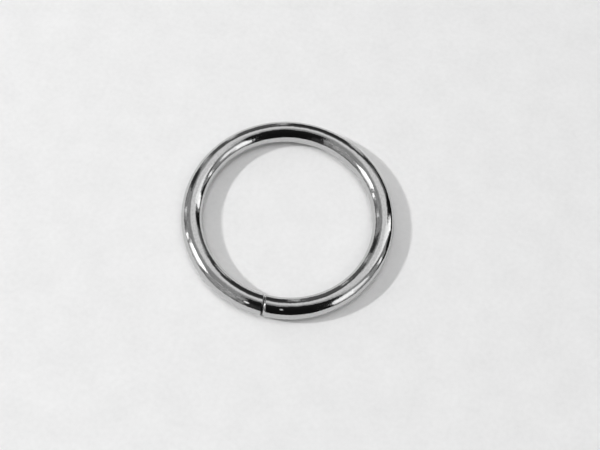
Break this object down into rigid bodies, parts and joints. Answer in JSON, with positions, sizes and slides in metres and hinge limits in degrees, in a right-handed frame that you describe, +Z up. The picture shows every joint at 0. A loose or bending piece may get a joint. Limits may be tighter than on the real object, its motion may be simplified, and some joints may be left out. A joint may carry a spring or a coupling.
{
  "type": "open wire ring",
  "caption": "Plain ring of bright-plated round wire bent into a circle, its cut ends meeting in a butt joint, for straps, cords, hooks or punched sheets.",
  "frame": {"origin": "centre of the ring, on the surface that it lies on", "axes": "+Z up through the ring's eye, -Y towards the butt joint, +X to the right for someone who faces the joint"},
  "size_m": [0.04, 0.04, 0.004],
  "materials": {
    "bright_plate": "polished bright plating over steel wire"
  },
  "bodies": {
    "root": {"ring": "bright_plate"}
  },
  "joints": []
}
